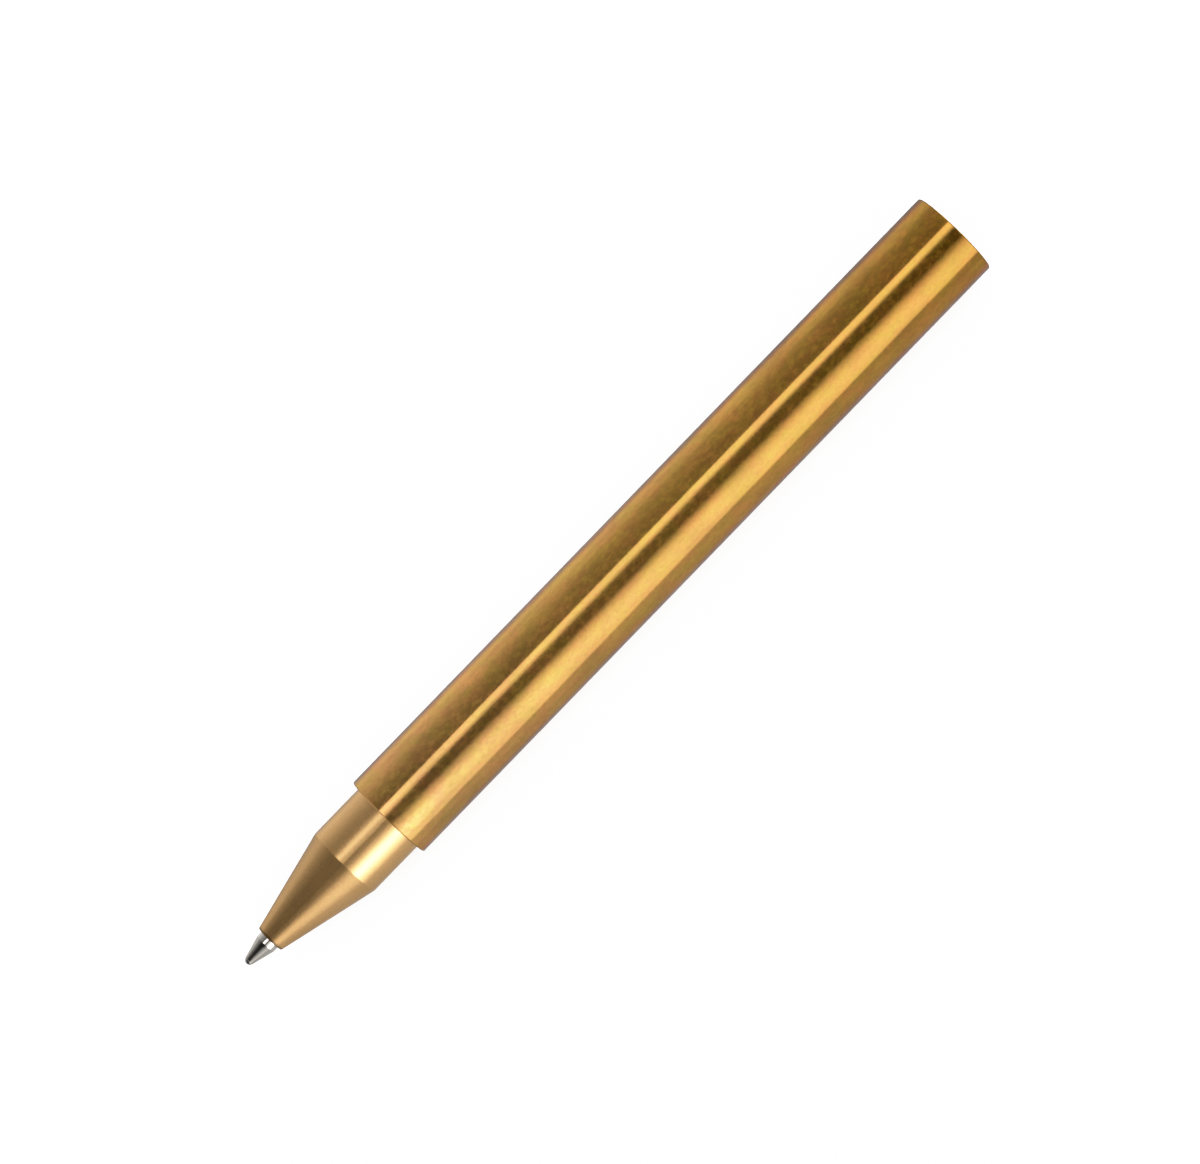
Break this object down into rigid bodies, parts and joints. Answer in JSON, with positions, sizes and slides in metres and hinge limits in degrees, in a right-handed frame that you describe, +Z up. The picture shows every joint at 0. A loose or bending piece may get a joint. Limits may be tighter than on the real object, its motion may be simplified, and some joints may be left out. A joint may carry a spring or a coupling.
{
  "type": "twist retractable ballpoint pen",
  "caption": "Plain brass ballpoint pen: a straight tube barrel and a slimmer cone nose that twists to draw the slim metal refill in and out.",
  "frame": {"origin": "on the desk, under the middle of the pen's length", "axes": "+X along the pen from point to tail, +Z up from the desk that the barrel lies on"},
  "size_m": [0.1026, 0.01, 0.01],
  "materials": {
    "drawn_brass": "drawn tube, satin, lightly tarnished",
    "turned_brass": "fine turned, satin",
    "mechanism_brass": "turned",
    "refill_brass": "drawn, bright",
    "nickel_silver": "turned, bright",
    "carbide": "ground",
    "stainless_steel": "drawn, satin",
    "spring_steel": "oiled",
    "white_acetal": "moulded",
    "black_acetal": "moulded",
    "black_rubber": "smooth",
    "grey_plastic": "moulded",
    "ink": "wet paste",
    "grease": "clear paste"
  },
  "bodies": {
    "barrel": {"barrel_tube": "drawn_brass", "tail_plug": "turned_brass", "cam_sleeve": "black_acetal", "front_bush": "mechanism_brass", "front_washer": "white_acetal", "rear_washer": "white_acetal"},
    "front_section": {"nose_cone": "turned_brass", "nose_o_ring": "black_rubber", "guide_tube": "stainless_steel", "snap_ring": "spring_steel", "spring_seat": "mechanism_brass"},
    "refill_carriage": {"return_spring": "spring_steel", "refill_carrier": "white_acetal", "cross_pin": "stainless_steel", "refill_tube": "refill_brass", "point_housing": "nickel_silver", "ink_column": "ink", "ink_follower": "grease", "refill_plug": "grey_plastic"},
    "ball": {"writing_ball": "carbide"}
  },
  "joints": [
    {"name": "nose_twist", "type": "hinge", "parent": "barrel", "child": "front_section", "pos_m": [-0.0307, 0, 0.005], "axis": [-1, 0, 0], "range_deg": [0, 180]},
    {"name": "refill_slide", "type": "slide", "parent": "front_section", "child": "refill_carriage", "axis": [1, 0, 0], "range_m": [0, 0.0048], "deforming": ["return_spring"]},
    {"name": "ball_roll", "type": "hinge", "parent": "refill_carriage", "child": "ball", "pos_m": [-0.0508, 0, 0.005], "axis": [0, 1, 0], "continuous": true}
  ],
  "couplings": [
    {"joint": "nose_twist", "follows": "refill_slide", "rad_per_m": 654.49}
  ]
}
